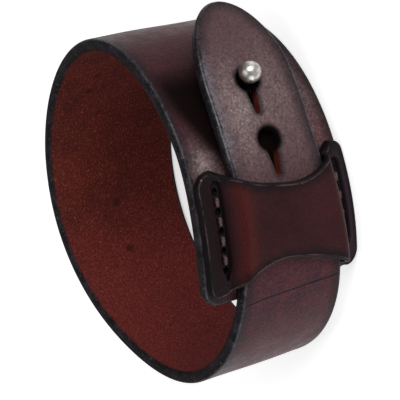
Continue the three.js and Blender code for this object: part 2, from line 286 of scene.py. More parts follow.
def circleOutline(radius, sides):
    turn = np.arange(sides) / sides * 2 * np.pi
    return np.stack([np.cos(turn), np.sin(turn)], -1) * radius


def joined(name, parts):
    pick(parts[0])
    for part in parts:
        part.select_set(True)
    bpy.ops.object.join()
    return named(name)


def cutOut(obj, tools):
    tool = joined(obj.name + "Cutter", tools)
    applyModifier(obj, "BOOLEAN", operation="DIFFERENCE", solver="EXACT", object=tool)
    bpy.data.objects.remove(tool)


def cleanUp(obj, gap=0.002):
    editMesh(obj, lambda: bpy.ops.mesh.remove_doubles(threshold=gap * mm), outwards)


def finishSmooth(obj, angle=40):
    pick(obj)
    bpy.ops.object.shade_smooth_by_angle(angle=math.radians(angle))


# Keeper: its stitch rows also place the holes in the strap

keeper = {
    "angle": -103.0,
    "thickness": 1.6,
    "edgeRadius": 0.5,
    # for the end away from the tongue's tip, then the other; in each, the lower rim's ear comes first
    "waistReach": (7.42, 6.98),
    "earReach": ((12.39, 12.1), (12.2, 11.05)),
    "earCorner": ((3.0, 3.0), (2.2, 3.0)),
    "waistPower": ((2.8, 1.85), (2.6, 2.5)),
    "waistEnd": ((1.0, 0.86), (1.0, 0.93)),
    "lean": 0.9,
    "inset": 0.3,
    "edgeGap": 0.4,
    "seatGap": 0.3,
    # for the shoulder at the lower rim and the one at the upper rim
    "innerRun": (0.5, 1.3),
    "outerRun": (1.8, 2.7),
    "footThickness": (0.95, 1.1),
    "footShare": 0.7,
    "bow": (2.0, 1.4),
    "rowInset": (2.65, 3.75),
    "holeCount": 5,
    "holeDiameter": 1.4,
    "holeSides": 16,
    "pitch": 3.6,
    "grooveLength": 18.0,
    "grooveWidth": 1.7,
    "grooveDepth": 0.7,
    "groovePoint": 2.6,
    "grooveMargin": 0.12,
    "grooveWall": (0.62, 1.12),
    # the leather pushed up beside the groove
    "lipHeight": 0.1,
    "lipOffset": 0.25,
    "lipReach": 0.3,
    "lipFrom": 0.2,
    # how far the ears are pressed down on the strap
    "pressed": 0.22,
    "pressedOver": 0.6,
    "reliefDepth": (0.55, 0.95),
    "sectionLength": 40.0,
    "earShare": 0.3,
    "wallShare": 0.52,
    # the section's corners are averaged over these shifts, with these weights
    "easing": ((-0.024, 1), (-0.012, 2), (0, 3), (0.012, 2), (0.024, 1)),
    "easingFrom": 0.08,
    "lengthSteps": 66,
    "widthSteps": 168,
    "lengthCrowding": 0.6,
    "widthCrowding": 0.35,
    "searchSteps": 2001,
    "edgeSteps": 400,
}

earHeight = strap["thickness"] - strap["tuck"] + keeper["seatGap"]
bridgeHeight = rideHeight + strap["thickness"] + keeper["seatGap"]
keeperMiddle = (strap["width"] + float(flare(keeper["angle"]))) / 2
keeperHalfSpan = keeperMiddle - keeper["inset"]


def ofSide(key, side):
    return np.where(side < 0, *keeper[key])


def keeperEdge(side, angle):
    return np.where(side < 0, keeper["inset"], strap["width"] + flare(angle) - keeper["inset"])


def clearOfStrap(side, angle):
    return strapMiddle(angle + 360) + side * (strapWidth(angle + 360) / 2 + keeper["edgeGap"])


def keeperReach(end, across):
    # how far its end 0 or 1 lies from the keeper's middle line
    def ofEar(key):
        return np.where(across < keeperMiddle, *keeper[key][end])

    out = np.abs(across - keeperMiddle)
    corner = ofEar("earCorner")
    cornerStart = keeperHalfSpan - corner
    widened = np.minimum(out / (cornerStart * ofEar("waistEnd")), 1) ** ofEar("waistPower")
    reach = blend(keeper["waistReach"][end], ofEar("earReach"), widened)
    intoCorner = np.clip(out - cornerStart, 0, corner)
    return reach - corner + np.sqrt(corner**2 - intoCorner**2)


def keeperAngleAt(along, across, height):
    lean = keeper["lean"] * np.sin(np.pi * (across - keeperMiddle) / keeperHalfSpan)
    return keeper["angle"] + np.degrees((along + lean) / (loopRadius(keeper["angle"]) + height))


def sharpSection(share, angle):
    # heights up the cuff and off the wall, inside and outside, at a share of the way from lower to upper edge
    side = np.where(share < 0.5, -1, 1)
    inwards = 1 - np.abs(2 * share - 1)
    edge = keeperEdge(side, angle)
    innerFoot = clearOfStrap(side, angle) + side * ofSide("innerRun", side) * keeper["footShare"]
    marks = 0, keeper["earShare"], keeper["wallShare"], 1
    ear, wall, crown = (ramp(inwards, low, high) for low, high in zip(marks, marks[1:]))
    rise = (bridgeHeight - earHeight) * smooth(wall, 0, 1)

    def acrossOf(foot, run, bow):
        top = [
            clearOfStrap(s, angle) + s * (keeper["innerRun"][k] * keeper["footShare"] + foot[k] - run[k])
            for k, s in enumerate((-1, 1))
        ]
        start = innerFoot + side * np.where(side < 0, *foot)
        walk = blend(edge, start, ear) - side * np.where(side < 0, *run) * wall**bow
        return walk + (sum(top) / 2 - np.where(side < 0, *top)) * crown

    inner = acrossOf((0, 0), keeper["innerRun"], 1)
    outer = acrossOf(keeper["footThickness"], keeper["outerRun"], ofSide("bow", side))
    return inner, earHeight + rise, outer, earHeight + keeper["thickness"] + rise


def keeperSection(share, angle):
    # the same, with its corners eased by averaging along the section
    eased = 0
    for shift, weight in keeper["easing"]:
        shifted = np.where(share < 0.5, np.clip(share + shift, 0, 0.5), np.clip(share + shift, 0.5, 1))
        eased = eased + np.array(sharpSection(shifted, angle)) * weight
    eased = eased / sum(weight for _, weight in keeper["easing"])
    hold = smooth(1 - np.abs(2 * share - 1), 0, keeper["easingFrom"])
    return blend(np.array(sharpSection(share, angle)), eased, hold)


def grooveHalfWidth(along):
    radius = keeper["grooveWidth"] / 2
    intoRound = np.maximum(along - (keeper["grooveLength"] / 2 - radius), 0)
    fromPoint = np.clip((along + keeper["grooveLength"] / 2) / keeper["groovePoint"], 0, 1)
    return np.sqrt(np.maximum(radius**2 - intoRound**2, 0)) * fromPoint


def rowAcross(side, angle):
    return keeperEdge(side, angle) - side * ofSide("rowInset", side)


def keeperPlaces(along, share, depth):
    # the bent places, and how deep in the groove each is; depth runs from 0 towards the wrist to 1 outside
    angle = keeperAngleAt(along, keeperSection(share, keeper["angle"])[2], earHeight)
    innerAcross, innerHeight, outerAcross, outerHeight = keeperSection(share, angle)
    side = np.where(share < 0.5, -1, 1)
    half = grooveHalfWidth(along) + keeper["grooveMargin"]
    off = np.abs(outerAcross - rowAcross(side, angle))
    groove = (1 - smooth(off / half, *keeper["grooveWall"])) * (np.abs(along) < keeper["grooveLength"] / 2)
    fromLip = (off - half - keeper["lipOffset"]) / keeper["lipReach"]
    lip = keeper["lipHeight"] * np.exp(-(fromLip**2)) * (grooveHalfWidth(along) > keeper["lipFrom"])
    pressed = 1 - smooth(innerHeight, earHeight, earHeight + keeper["pressedOver"])
    across = blend(innerAcross, outerAcross, depth)
    height = blend(innerHeight - keeper["pressed"] * pressed, outerHeight, depth)
    height = height + (lip - keeper["grooveDepth"] * groove) * smooth(depth, *keeper["reliefDepth"])
    spot = offWall(keeperAngleAt(along, across, height), height)
    return np.column_stack([spot, across]), groove


def stitchRow(side):
    # the holes of one row: how far along the keeper each is, its angle and how far up the cuff
    alongs = (np.arange(keeper["holeCount"]) - (keeper["holeCount"] - 1) / 2) * keeper["pitch"]
    level = earHeight + keeper["thickness"]
    angles = keeperAngleAt(alongs, rowAcross(side, keeper["angle"]), level)
    return alongs, angles, rowAcross(side, angles)


# Band

keyholes = {
    "studAngle": 297.6,
    "count": 2,
    "spacing": 11.6,
    "diameter": 4.4,
    "slotLength": 6.7,
    "rootWidth": 2.2,
    "tipWidth": 1.1,
    "lipRadius": 0.28,
    "studHole": 3.0,
    "holeSteps": 41,
    "tipSteps": 13,
    "studHoleSides": 32,
    "needleSides": 14,
}

bandMesh = {
    "widthSteps": 58,
    "cornerSteps": 8,
    "loopStep": 1.0,
    "tongueStep": 0.36,
    "tongueStart": 236.0,
    "noseSteps": 54,
    "noseEnd": 0.9975,
    # the leather isn't quite even: each wave's turn along, its turn across and its start
    "waviness": 0.16,
    "waves": ((0.11, 0.07, 0.4), (0.19, -0.12, 2.1), (0.31, 0.16, 4.0), (0.07, 0.33, 1.3)),
    "waveSpan": (0.2, 5),
    # painted shade beside the tongue, where the raised tongue shadows the strap: its distances from the wide
    # end, and its foot and top
    "paintedShadeSpan": (20.5, 23.5, 40.0, 50.0),
    "paintedShadeFoot": (-9, -5),
    "paintedShadeLine": ((22, 7.0), (24.5, 8.2), (28.5, 11.0), (33, 13.0), (37, 14.5), (50, 15.5)),
    "paintedShadeFade": 2.2,
    # the same painted shade, thinner, further on
    "thinShadeSpan": (28, 40, 47, 62),
    "thinPaintedShade": 0.3,
    # and painted shade round the keyholes, where the holes lie in shadow
    "shadeRingSpan": (0.0, 0.65),
    # painted highlights, pale places that stand for sheen: distance from the wide end, height, their reaches,
    # and how pale they are
    "paintedHighlight": (
        (255, 4.2, 8.0, 3.6, 1.0), (257, -4, 9, 5, 0.4), (24.6, 12.6, 3.8, 3.0, 1.2), (36, -13, 14, 3, 0.5),
    ),
}


def strapHalfWidth(distance):
    half = strapWidth(angleAt(distance)) / 2
    corner = strap["cornerRadius"]
    intoCorner = np.clip(corner - distance, 0, corner)
    intoNose = np.clip(distance - (strapLength - strap["noseLength"]), 0, None) / strap["noseLength"]
    power = strap["noseRoundness"]
    noseShare = np.maximum(1 - intoNose**power, 0) ** (1 / power)
    return (half - corner + np.sqrt(corner**2 - intoCorner**2)) * noseShare


def strapStations():
    corner, noseStart = strap["cornerRadius"], strapLength - strap["noseLength"]
    cornerSteps, noseSteps = bandMesh["cornerSteps"], bandMesh["noseSteps"]
    middle = bandMesh["tongueStart"]
    loopSteps = int((middle - corner) / bandMesh["loopStep"])
    tongueSteps = int((noseStart - middle) / bandMesh["tongueStep"])
    reach = strap["noseLength"] * bandMesh["noseEnd"]
    return np.concatenate([
        corner * (1 - np.cos(np.pi / 2 * np.arange(cornerSteps) / cornerSteps)),
        np.linspace(corner, middle, loopSteps, endpoint=False),
        np.linspace(middle, noseStart, tongueSteps, endpoint=False),
        noseStart + reach * np.sin(np.pi / 2 * np.arange(noseSteps + 1) / noseSteps),
    ])


def keyholeOutline():
    radius = keyholes["diameter"] / 2
    root = math.asin(keyholes["rootWidth"] / keyholes["diameter"])
    arc = np.linspace(math.pi + root, 3 * math.pi - root, keyholes["holeSteps"])
    tip = np.linspace(math.pi / 2, math.pi * 1.5, keyholes["tipSteps"])
    tipRadius = keyholes["tipWidth"] / 2
    hole = np.stack([np.cos(arc), np.sin(arc)], -1) * radius
    along = np.cos(tip) * tipRadius + tipRadius - keyholes["slotLength"]
    return np.concatenate([hole, np.column_stack([along, np.sin(tip) * tipRadius])])


def strapHoles():
    # each hole's centre on the flat strap and its outline: keyholes, then the stud's, then the stitches'
    holes = []
    stud = keyholes["studAngle"]
    for i in range(keyholes["count"]):
        distance = distanceAt(stud) - keyholes["spacing"] * i
        angle = angleAt(distance)
        holes.append(((distance, strapAxis(angle) - strapMiddle(angle)), keyholeOutline()))
    dropped = strapAxis(stud) - strapAxis(stud - 360)
    studHole = circleOutline(keyholes["studHole"] / 2, keyholes["studHoleSides"])
    holes.append(((distanceAt(stud - 360), dropped), studHole))
    needle = circleOutline(keeper["holeDiameter"] / 2, keyholes["needleSides"])
    for side in (-1, 1):
        _, angles, heights = stitchRow(side)
        for angle, height in zip(angles, heights):
            holes.append(((distanceAt(angle), height - strapMiddle(angle)), needle))
    return holes


def cutHoles(blank, holes, reach):
    # returns each point's distance from the nearest hole
    cutOut(blank, [cutter("holeCutter", outline, centre, reach) for centre, outline in holes])
    points = places(blank)[:, :2]
    return np.min([distanceTo(points, outline + centre) for centre, outline in holes], axis=0)


def paintedShadeMask(x, y, keyholeCentres):
    # painted shade: beside the tongue, where it shadows the strap, and round the keyholes
    line, fade = np.interp(x, *np.array(bandMesh["paintedShadeLine"]).T), bandMesh["paintedShadeFade"]
    heights = within(y, *bandMesh["paintedShadeFoot"], line - fade, line + fade)
    thin = bandMesh["thinPaintedShade"] * within(x, *bandMesh["thinShadeSpan"])
    paintedShade = np.maximum(within(x, *bandMesh["paintedShadeSpan"]) * heights, thin)
    for distance, height in keyholeCentres:
        away = np.hypot(x - distance, y - height) - keyholes["diameter"] / 2
        paintedShade = np.maximum(paintedShade, 1 - smooth(away, *bandMesh["shadeRingSpan"]))
    return paintedShade


def highlightPatches(x, y):
    total = 0
    for cx, cy, rx, ry, pale in bandMesh["paintedHighlight"]:
        total = total + pale * np.exp(-(((x - cx) / rx) ** 2) - ((y - cy) / ry) ** 2)
    return total


def makeBand():
    stations = strapStations()
    blank, u, v, w = leatherBlank("strap", len(stations) - 1, bandMesh["widthSteps"])
    along = np.interp(u, np.linspace(0, 1, len(stations)), stations)
    across = np.sin(v * np.pi / 2) * strapHalfWidth(along)
    half = strap["thickness"] / 2
    setPlaces(blank, along, across, w * half)
    holes = strapHoles()
    slot = cutHoles(blank, holes, strap["thickness"])
    flat = places(blank)
    x, y, z = flat.T
    width = strapHalfWidth(stations)
    outline = np.concatenate([np.column_stack([stations, width]), np.column_stack([stations, -width])[::-1]])
    rim = distanceTo(flat[:, :2], outline)
    keepFlat(blank, flat, rim, slot)
    setAttribute(blank, "paintedShade", paintedShadeMask(x, y, [centre for centre, _ in holes[:keyholes["count"]]]))
    setAttribute(blank, "paintedHighlight", highlightPatches(x, y))
    depth = roundedDepth(z, half, rim, strap["edgeRadius"])
    depth = roundedDepth(depth, half, slot, keyholes["lipRadius"])
    wave = sum(np.sin(x * a + y * b + c) for a, b, c in bandMesh["waves"]) / len(bandMesh["waves"])
    depth = depth + wave * bandMesh["waviness"] * smooth(rim, *bandMesh["waveSpan"])
    # the bend: width stands up, the grain side faces away from the wrist
    setPlaces(blank, x, -depth, y + strapMiddle(angleAt(x)))
    guide = strapGuide()
    applyModifier(blank, "CURVE", object=guide, deform_axis="POS_X")
    bpy.data.objects.remove(guide)
    finishSmooth(blank)
    return blank


def strapGuide():
    curve = bpy.data.curves.new("strapGuide", "CURVE")
    curve.dimensions = "2D"
    spline = curve.splines.new("POLY")
    spline.points.add(len(pathPlaces) - 1)
    co = np.ones((len(pathPlaces), 4))
    co[:, :2] = (pathPlaces + loop["centre"]) * mm
    co[:, 2] = 0
    spline.points.foreach_set("co", co.astype(np.float32).ravel())
    return link(bpy.data.objects.new("strapGuide", curve))


def keeperHoles():
    # each hole's centre on the flat keeper and its outline
    holes = []
    shares = np.linspace(0, 1, keeper["searchSteps"])
    needle = circleOutline(keeper["holeDiameter"] / 2, keeper["holeSides"])
    for side in (-1, 1):
        for along, angle, height in zip(*stitchRow(side)):
            share = np.interp(height, keeperSection(shares, angle)[2], shares)
            holes.append(((along, (share - 0.5) * keeper["sectionLength"]), needle))
    return holes


def keeperCentre(share):
    inner, _, outer, _ = keeperSection(share, keeper["angle"])
    return (inner + outer) / 2


def keeperOutline():
    shares = np.linspace(0, 1, keeper["edgeSteps"])
    middle = keeperCentre(shares)
    across = (shares - 0.5) * keeper["sectionLength"]
    far = np.column_stack([keeperReach(1, middle), across])
    near = np.column_stack([-keeperReach(0, middle), across])
    return np.concatenate([far, near[::-1]])


def makeKeeper():
    blank, u, v, w = leatherBlank("strapKeeper", keeper["lengthSteps"], keeper["widthSteps"])
    share = blend(v / 2 + 0.5, 0.5 + 0.5 * np.sin(v * np.pi / 2), keeper["widthCrowding"])
    spread = blend(u * 2 - 1, np.sin((u * 2 - 1) * np.pi / 2), keeper["lengthCrowding"])
    middle = keeperCentre(share)
    length = np.where(spread < 0, keeperReach(0, middle), keeperReach(1, middle))
    half = keeper["thickness"] / 2
    setPlaces(blank, spread * length, (share - 0.5) * keeper["sectionLength"], w * half)
    slot = cutHoles(blank, keeperHoles(), keeper["thickness"])
    flat = places(blank)
    rim = distanceTo(flat[:, :2], keeperOutline())
    x, y, z = flat.T
    depth = roundedDepth(z, half, rim, keeper["edgeRadius"]) / keeper["thickness"] + 0.5
    spots, groove = keeperPlaces(x, y / keeper["sectionLength"] + 0.5, depth)
    keepFlat(blank, flat, rim, slot)
    setAttribute(blank, "groove", groove)
    spots[:, :2] += loop["centre"]
    setPlaces(blank, spots)
    finishSmooth(blank)
    return blank


# Ball stud, turned in one piece

stud = {
    "ballDiameter": 4.2,
    "ballLift": 1.75,
    "neckDiameter": 2.2,
    "collarDiameter": 3.8,
    "collarThickness": 0.4,
    "postDiameter": 2.4,
    "baseDiameter": 7.0,
    "baseThickness": 0.9,
    "seatGap": 0.3,
    "edge": 0.18,
    # painted shade below the ball, where the neck lies in its shadow: shares of its radius
    "neckShadeSpan": (0.75, 0.3),
    "ballSteps": 30,
    "turns": 72,
}


def standOn(angle, height):
    # frame whose Z points out of the wall at an angle of the loop
    x, y = wallNormal(np.array(float(angle)))
    foot = wallPoint(np.array(float(angle))) + loop["centre"]
    turned = Matrix(((-y, 0, x), (x, 0, y), (0, 1, 0)))
    return Matrix.Translation((foot[0] * mm, foot[1] * mm, height * mm)) @ turned.to_4x4()


def makeStud():
    angle, thickness = keyholes["studAngle"], strap["thickness"]
    inner = float(strapLift(angle - 360))
    ballCentre = float(strapLift(angle)) + thickness + stud["ballLift"]
    parts = ("ball", "base", "collar", "neck", "post")
    ball, base, collar, neck, post = (stud[part + "Diameter"] / 2 for part in parts)
    seat = inner - stud["seatGap"] - base**2 / loop["diameter"]
    foot = seat - stud["baseThickness"]
    under = inner + thickness + stud["seatGap"]
    top, e = under + stud["collarThickness"], stud["edge"]
    profile = [
        (0, foot), (base - 3 * e, foot), (base - e, foot + e / 3), (base - e / 4, foot + e),
        (base, foot + 2 * e), (base, seat + e), (base - e, seat + 1.6 * e), (post, seat + 1.6 * e),
        (post, under), (collar - e / 2, under), (collar, under + e / 2), (collar, top - e),
        (collar - e, top), (neck + e, top), (neck, top + e),
    ]
    for turn in np.linspace(math.asin(neck / ball), math.pi, stud["ballSteps"]):
        profile.append((ball * math.sin(turn), ballCentre - ball * math.cos(turn)))
    deselectAll()
    bpy.ops.mesh.primitive_circle_add(vertices=len(profile), radius=mm)
    turned = named("ballStud")
    setPlaces(turned, [(max(x, 0), 0, z) for x, z in profile])

    def openProfile():
        bpy.ops.mesh.select_all(action="DESELECT")
        bpy.ops.object.mode_set(mode="OBJECT")
        last = len(profile) - 1
        for line in turned.data.edges:
            line.select = set(line.vertices) == {0, last}
        bpy.ops.object.mode_set(mode="EDIT")
        bpy.ops.mesh.delete(type="EDGE")
        bpy.ops.mesh.select_all(action="SELECT")

    def spin():
        bpy.ops.mesh.spin(steps=stud["turns"], angle=2 * math.pi, center=(0, 0, 0), axis=(0, 0, 1))

    editMesh(turned, openProfile, spin)
    cleanUp(turned)
    height = places(turned)[:, 2]
    below = 1 - smooth(height, *(ballCentre - share * ball for share in stud["neckShadeSpan"]))
    setAttribute(turned, "neckShade", below * smooth(height, seat + e, seat + 4 * e))
    turned.data.transform(standOn(angle, float(strapAxis(angle))))
    finishSmooth(turned, 35)
    return turned


# Stitches: one twisted thread is modelled and copied along both rows, outside and inside

stitch = {
    "threadRadius": 0.45,
    "lengthSteps": 34,
    "roundSteps": 14,
    "dive": 1.7,
    "diveStart": 0.3,
    "reachShare": 0.98,
    "plyDepth": 0.2,
    "plyTurns": 1.3,
    "outerSink": 0.24,
    "innerSink": 0.32,
}


def makeThread():
    deselectAll()
    length, girth = stitch["lengthSteps"], stitch["roundSteps"]
    bpy.ops.mesh.primitive_grid_add(x_subdivisions=length, y_subdivisions=girth, size=1)
    thread = named("thread")
    along, around, _ = places(thread).T * mm * 2
    turn = around * np.pi
    reach = keeper["pitch"] / 2 * stitch["reachShare"]
    twist = np.abs(np.sin(turn + along * stitch["plyTurns"] * np.pi))
    ply = 1 - stitch["plyDepth"] * twist**3
    radius = stitch["threadRadius"] * ply * np.sqrt(np.clip(1 - np.abs(along) ** 7, 0, 1))
    height = np.sin(turn) * radius - stitch["dive"] * smooth(np.abs(along), stitch["diveStart"], 1)
    setPlaces(thread, along * reach, np.cos(turn) * radius, height)
    setAttribute(thread, "end", np.abs(along))
    cleanUp(thread, 0.004)
    finishSmooth(thread, 80)
    return thread


def makeStitches():
    pattern = makeThread()
    x, y, z = places(pattern).T
    level, radius = earHeight + keeper["thickness"], stitch["threadRadius"]
    groove = level - keeper["grooveDepth"]
    outside = (1, groove + radius - stitch["outerSink"])
    inside = (-1, strapLift(keeper["angle"]) + stitch["innerSink"] - radius)
    parts = []
    for side in (-1, 1):
        alongs = stitchRow(side)[0]
        for start, end in zip(alongs, alongs[1:]):
            angle = keeperAngleAt((start + end) / 2 + x, rowAcross(side, keeper["angle"]), level)
            for way, height in (outside, inside):
                pick(pattern)
                bpy.ops.object.duplicate()
                parts.append(named("stitch"))
                spot = offWall(angle, height + way * z) + loop["centre"]
                setPlaces(parts[-1], spot, rowAcross(side, angle) + y)
    bpy.data.objects.remove(pattern)
    stitches = joined("stitches", parts)
    editMesh(stitches, outwards)
    return stitches


# Finishes

class Paint:
    # a new material's nodes; a name stands for the look's colour

    def __init__(self, name, look):
        self.look = look
        self.material = bpy.data.materials.new(name)
        self.material.use_nodes = True
        self.tree = self.material.node_tree
        self.shader = self.tree.nodes["Principled BSDF"]

    def set(self, **values):
        for key, value in values.items():
            self.shader.inputs[key.replace("_", " ")].default_value = value

    def finished(self, **sockets):
        for key, value in sockets.items():
            self.tree.links.new(value, self.shader.inputs[key.replace("_", " ")])
        return self.material

    def node(self, kind, inputs, **settings):
        made = self.tree.nodes.new("ShaderNode" + kind)
        for key, value in settings.items():
            setattr(made, key, value)
        for key, value in inputs.items():
            if isinstance(value, bpy.types.NodeSocket):
                self.tree.links.new(value, made.inputs[key])
            else:
                made.inputs[key].default_value = value
        return made

    def attribute(self, name, output="Fac"):
        return self.node("Attribute", {}, attribute_name=name).outputs[output]

    def ownPlace(self):
        return self.node("TexCoord", {}).outputs["Object"]

    def noise(self, vector, scale, detail=3.0, roughness=0.5, distortion=0.0):
        inputs = {"Scale": scale, "Detail": detail, "Roughness": roughness, "Distortion": distortion}
        return self.node("TexNoise", {"Vector": vector, **inputs}).outputs["Fac"]

    def cells(self, vector, scale, randomness=1.0):
        inputs = {"Vector": vector, "Scale": scale, "Randomness": randomness}
        return self.node("TexVoronoi", inputs).outputs["Distance"]

    def stretched(self, vector, scale):
        return self.node("Mapping", {"Vector": vector, "Scale": scale}).outputs["Vector"]

    def ranged(self, value, low, high, start=0.0, end=1.0):
        inputs = {"Value": value, "From Min": low, "From Max": high, "To Min": start, "To Max": end}
        return self.node("MapRange", inputs, interpolation_type="SMOOTHSTEP").outputs["Result"]

    def ridge(self, value, near, peak, far):
        return self.product(self.ranged(value, near, peak), self.ranged(value, peak, far, 1, 0))

    def maths(self, operation, a, b=0.0, c=0.0):
        return self.node("Math", {0: a, 1: b, 2: c}, operation=operation).outputs[0]

    def product(self, result, *others):
        for other in others:
            result = self.maths("MULTIPLY", result, other)
        return result

    def mixed(self, share, a, b):
        a, b = ((*self.look[x], 1) if isinstance(x, str) else x for x in (a, b))
        return self.node("Mix", {0: share, 6: a, 7: b}, data_type="RGBA").outputs[2]

    def mixedValue(self, share, a, b):
        return self.node("Mix", {0: share, 2: a, 3: b}).outputs[0]

    def bumped(self, height, distance, normal=None):
        inputs = {"Height": height, "Distance": distance * mm, "Strength": 1.0}
        if normal is not None:
            inputs["Normal"] = normal
        return self.node("Bump", inputs).outputs["Normal"]


# Leather: painted on the places that its points had while it was flat, in metres

# scale, detail, roughness and distortion
noises = {
    "warmth": (48, 2),
    "cloud": (65, 3, 0.55),
    "nickPlaces": (120, 2),
    "stains": (130, 4, 0.6),
    "breaks": (260, 4, 0.65),
    "mottle": (420, 5, 0.62),
    "folds": (900, 4, 0.65),
    "nicks": (900, 4, 0.7),
    "fibres": (1700, 5, 0.82, 0.7),
    "pores": (2200, 4, 0.75),
    "speck": (3300, 2, 0.6),
}

# each layer: what it is drawn on, where it starts and ends there, its strengths at both, and its colour
layers = {
    "dye": (
        ("warmth", 0.5, 0.75, 0, 0.6, "warm"),
        ("mottle", 0.35, 0.7, 0, 0.35, "warm"),
    ),
    # the tongue is painted paler and greyer than the cuff: partly its own tone, partly painted sheen
    "tongue": (("along", 0.228, 0.246, 0, 0.9, "tongue"),),
    "keeper": (
        ("fromCrest", 0.00032, 0.0032, 0.8, 0, "crest"),
        ("across", 0.0115, 0.0145, 0, 1, "ear"),
        ("across", -0.0115, -0.0145, 0, 1, "farEar"),
        ("speck", 0.6, 0.8, 0, 0.05, "speck"),
    ),
    "pores": (("pores", 0.5, 0.34, 0, 0.5, "edge"),),
    "holes": (("slot", 0.0001, 0.0012, 0.75, 0, "edge"),),
    "flesh": (
        ("along", 0.12, 0.15, 0, 0.85, "fleshRed"),
        ("fibres", 0.53, 0.68, 0, 0.8, "fleshLight"),
        ("fibres", 0.5, 0.38, 0, 0.6, "fleshDark"),
        ("pores", 0.52, 0.36, 0, 0.6, "fleshDark"),
        ("spots", 0.05, 0.15, 0.8, 0, "fleshDark"),
        ("slot", 0.0001, 0.0005, 1, 0, "edge"),
    ),
    "edge": (
        ("mottle", 0.4, 0.7, 0, 0.7, "edgeLight"),
        ("pores", 0.54, 0.7, 0, 0.45, "edgeFleck"),
    ),
    "wall": (("fibres", 0.4, 0.7, 0, 0.7, "edge"),),
}

# masks: where each starts and ends, and its strengths if they aren't 0 and 1
spans = {
    "light": (0.32, 0.68),
    "highlightBreakup": (0.3, 0.65, 0.45, 0.9),
    "pale": (0.5, 0.68),
    "fleshClouds": (0.3, 0.7),
    "fleshStains": (0.35, 0.7, 0, 0.7),
    "burnt": (0.0006, 0.00105, 1, 0),
    "nicks": (0.66, 0.7),
    "nickPlaces": (0.52, 0.6),
    "breaks": (0.42, 0.62),
    "flecks": (0.4, 0.62, 0.35, 1),
    "holeWall": (0.00003, 0.00012, 1, 0),
    "gloss": (0.3, 0.7),
}

surface = {
    "stretched": {"fibres": (1, 1.6, 1), "folds": (1, 1.7, 1)},
    "spotScale": 110,
    "pebbles": (1900, 0.9),
    "driftScale": 900.0,
    "drift": 0.0004,
    # how much each adds to the height
    "grain": {"pebbles": 0.7, "folds": 0.4, "speck": 0.4},
    "flesh": {"fibres": 2.4, "mottle": 1.5},
    # in millimetres
    "edgeDepth": 0.06,
    "creaseDepth": 0.25,
}

strapLook = {
    "dark": (0.0245, 0.0072, 0.0125),
    "light": (0.0455, 0.0112, 0.0165),
    "warm": (0.073, 0.0152, 0.0155),
    # the tongue's tone: partly its own colour, partly painted sheen
    "tongue": (0.062, 0.034, 0.038),
    # the colour of the painted highlights, pale where the strap catches the light
    "paintedHighlight": (0.15, 0.11, 0.108),
    "speck": (0.3, 0.24, 0.23),
    # how pale the top of the grain is, for each unit of painted highlight, as painted glints, and everywhere
    "palenessAndSparkle": (0.5, 0.06),
    # near-black painted shade beside the tongue and round the keyholes
    "paintedShade": (0.0025, 0.0006, 0.0006),
    "flesh": (0.082, 0.0118, 0.008),
    "fleshLight": (0.3, 0.085, 0.068),
    "fleshRed": (0.125, 0.0185, 0.017),
    "fleshDark": (0.028, 0.0055, 0.0045),
    "raw": (0.13, 0.019, 0.01),
    "edge": (0.006, 0.0048, 0.0062),
    "edgeLight": (0.027, 0.022, 0.028),
    "edgeFleck": (0.15, 0.12, 0.125),
    "nick": (0.32, 0.19, 0.15),
    # a painted highlight line along the bevel: colour, distances from the rim, least and greatest strength
    "rimHighlight": (0.07, 0.066, 0.075),
    "rimHighlightAt": (0.0002, 0.00042, 0.0007),
    "rimHighlightStrength": (0.1, 0.6),
    # painted highlight and sheen along the tongue's edge, where it catches the light: spans of distance from
    # the wide end, span of height
    "edgeHighlight": ((0.24, 0.251), (0.262, 0.27), (0.0045, 0.007)),
    "edgeHighlightClears": 0.7,
    "edgeHighlightRim": (0.17, 0.18, 0.205),
    "edgeHighlightLine": 0.75,
    "edgeHighlightSheen": (0.13, 0.135, 0.15),
    "sheenAt": (0.0006, 0.001, 0.003),
    "sheenStrength": 0.55,
    # a crease across the upper layer, dented by the bump and drawn darker as painted shade: its distance from
    # the wide end, its slant and how far it reaches
    "crease": {
        "place": 0.2207, "slant": -0.045, "half": 0.0115, "width": 0.0002, "wander": 0.0006, "dark": 0.8,
    },
    "half": 0.0012,
    # the shade along the rim: where it starts and ends, its strengths there, and how far it wanders
    "shadeSpan": (0.0006, 0.0036, 0.7, 0),
    "rimWander": 0.0008,
    "burntWander": 0.35,
    # shares of half the thickness where the flesh side starts and where the walls of the holes end
    "fleshFrom": (0.86, 0.96),
    "wallTo": (0.72, 0.97),
    "gloss": (0.36, 0.5),
    # rough where the shade is painted, so that it reflects less
    "paintedShadeRoughness": 1.0,
    "roughness": {"flesh": 0.88, "edge": 0.42, "wall": 0.8},
    "grainDepth": 0.08,
    "specular": 0.075,
}

keeperLook = {
    **strapLook,
    "dark": (0.0145, 0.0033, 0.0044),
    "light": (0.022, 0.0056, 0.0068),
    "warm": (0.031, 0.0062, 0.0062),
    "crest": (0.041, 0.007, 0.0055),
    "crestMiddle": 0.0099,
    "ear": (0.0065, 0.0016, 0.002),
    "farEar": (0.0155, 0.0085, 0.0125),
    # near black in the stitch groove: painted shade
    "groove": (0.004, 0.003, 0.0035),
    # the keeper's flesh side and hole walls are painted far darker than the strap's, as painted shade under
    # and inside the keeper
    "flesh": (0.02, 0.004, 0.0035),
    "fleshLight": (0.06, 0.016, 0.012),
    "raw": (0.004, 0.0015, 0.0015),
    "edge": (0.0035, 0.0026, 0.0034),
    "edgeLight": (0.007, 0.0055, 0.0068),
    "edgeFleck": (0.022, 0.015, 0.015),
    # the keeper's painted highlight line along its bevel
    "rimHighlight": (0.12, 0.055, 0.05),
    "rimHighlightAt": (0.0003, 0.00048, 0.0007),
    "rimHighlightStrength": (0.0, 0.5),
    "half": 0.0008,
    "shadeSpan": (0.0006, 0.0026, 0.75, 0),
    "gloss": (0.33, 0.45),
    "grainDepth": 0.05,
    "specular": 0.06,
}


